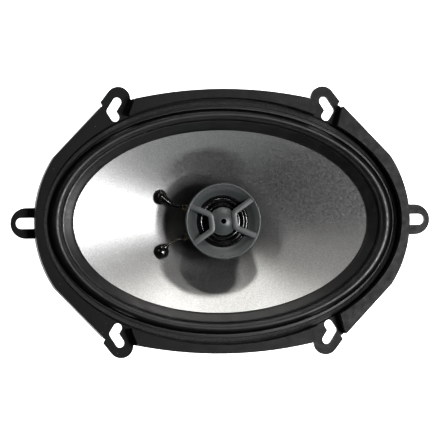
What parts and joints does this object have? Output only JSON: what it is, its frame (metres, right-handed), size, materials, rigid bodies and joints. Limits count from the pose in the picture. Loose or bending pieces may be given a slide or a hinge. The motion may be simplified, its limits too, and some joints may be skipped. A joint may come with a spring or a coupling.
{
  "type": "oval coaxial loudspeaker",
  "caption": "Oval coaxial car loudspeaker with slotted ears and corner tabs, a metallic cone in a rubber roll, and a small tweeter on a fixed post in front of it.",
  "frame": {"origin": "centre of the ear slot pattern, on the back face of the mounting flange", "axes": "+Z is the sound axis, out of the front of the speaker; +X runs along its long side; the terminals are on the -X side"},
  "size_m": [0.2284, 0.1458, 0.072],
  "materials": {
    "basket_plastic": "fine moulded texture",
    "edge_rubber": "satin",
    "gasket_board": "matte",
    "cone_metallic": "satin metallic coat on moulded sheet",
    "former_film": "amber film",
    "copper_wire": "enamelled copper",
    "spider_cloth": "resin-treated cloth",
    "cement": "glossy",
    "plated_steel": "zinc plated",
    "ferrite": "ground ceramic",
    "black_plastic": "matte",
    "grey_plastic": "fine matte",
    "neodymium": "nickel plated",
    "dome_film": "glossy film",
    "tinned_brass": "tinned",
    "capacitor_sleeve": "shrink sleeve",
    "screw_steel": "zinc plated",
    "fibre_board": "pressed fibre",
    "tinsel": "woven tinsel cord",
    "lead_sleeve": "glossy sleeve"
  },
  "bodies": {
    "frame": {"basket": "basket_plastic", "surround": "edge_rubber", "edge_gasket": "gasket_board", "spider": "spider_cloth", "top_plate": "plated_steel", "magnet": "ferrite", "yoke": "plated_steel", "stake_rivets": "plated_steel", "tweeter_post": "black_plastic", "tweeter_housing": "black_plastic", "tweeter_bezel": "grey_plastic", "tweeter_cup": "plated_steel", "tweeter_magnet": "neodymium", "tweeter_pole_plate": "plated_steel", "tweeter_mount_ring": "black_plastic", "tweeter_surround": "dome_film", "tweeter_lugs": "tinned_brass", "tweeter_capacitor": "capacitor_sleeve", "capacitor_wires": "tinned_brass", "centre_bolt": "screw_steel", "bolt_washer": "screw_steel", "terminal_board": "fibre_board", "terminal_positive": "tinned_brass", "terminal_negative": "tinned_brass", "terminal_rivets": "tinned_brass", "tinsel_lead_positive": "tinsel", "tinsel_lead_negative": "tinsel", "tweeter_lead_upper": "lead_sleeve", "tweeter_lead_lower": "tinsel"},
    "cone_assembly": {"cone": "cone_metallic", "coil_former": "former_film", "coil_winding": "copper_wire", "lead_bead_upper": "cement", "lead_bead_lower": "cement"},
    "tweeter_diaphragm": {"tweeter_dome": "dome_film", "tweeter_coil": "copper_wire"}
  },
  "joints": [
    {"name": "woofer_excursion", "type": "slide", "parent": "frame", "child": "cone_assembly", "axis": [0, 0, 1], "range_m": [-0.004, 0.004], "stiffness_N_per_m": 2500, "deforming": ["surround", "spider", "tinsel_lead_positive", "tinsel_lead_negative", "tweeter_lead_upper", "tweeter_lead_lower"]},
    {"name": "tweeter_excursion", "type": "slide", "parent": "frame", "child": "tweeter_diaphragm", "axis": [0, 0, 1], "range_m": [-0.00025, 0.00025], "stiffness_N_per_m": 300, "deforming": ["tweeter_surround"]}
  ]
}
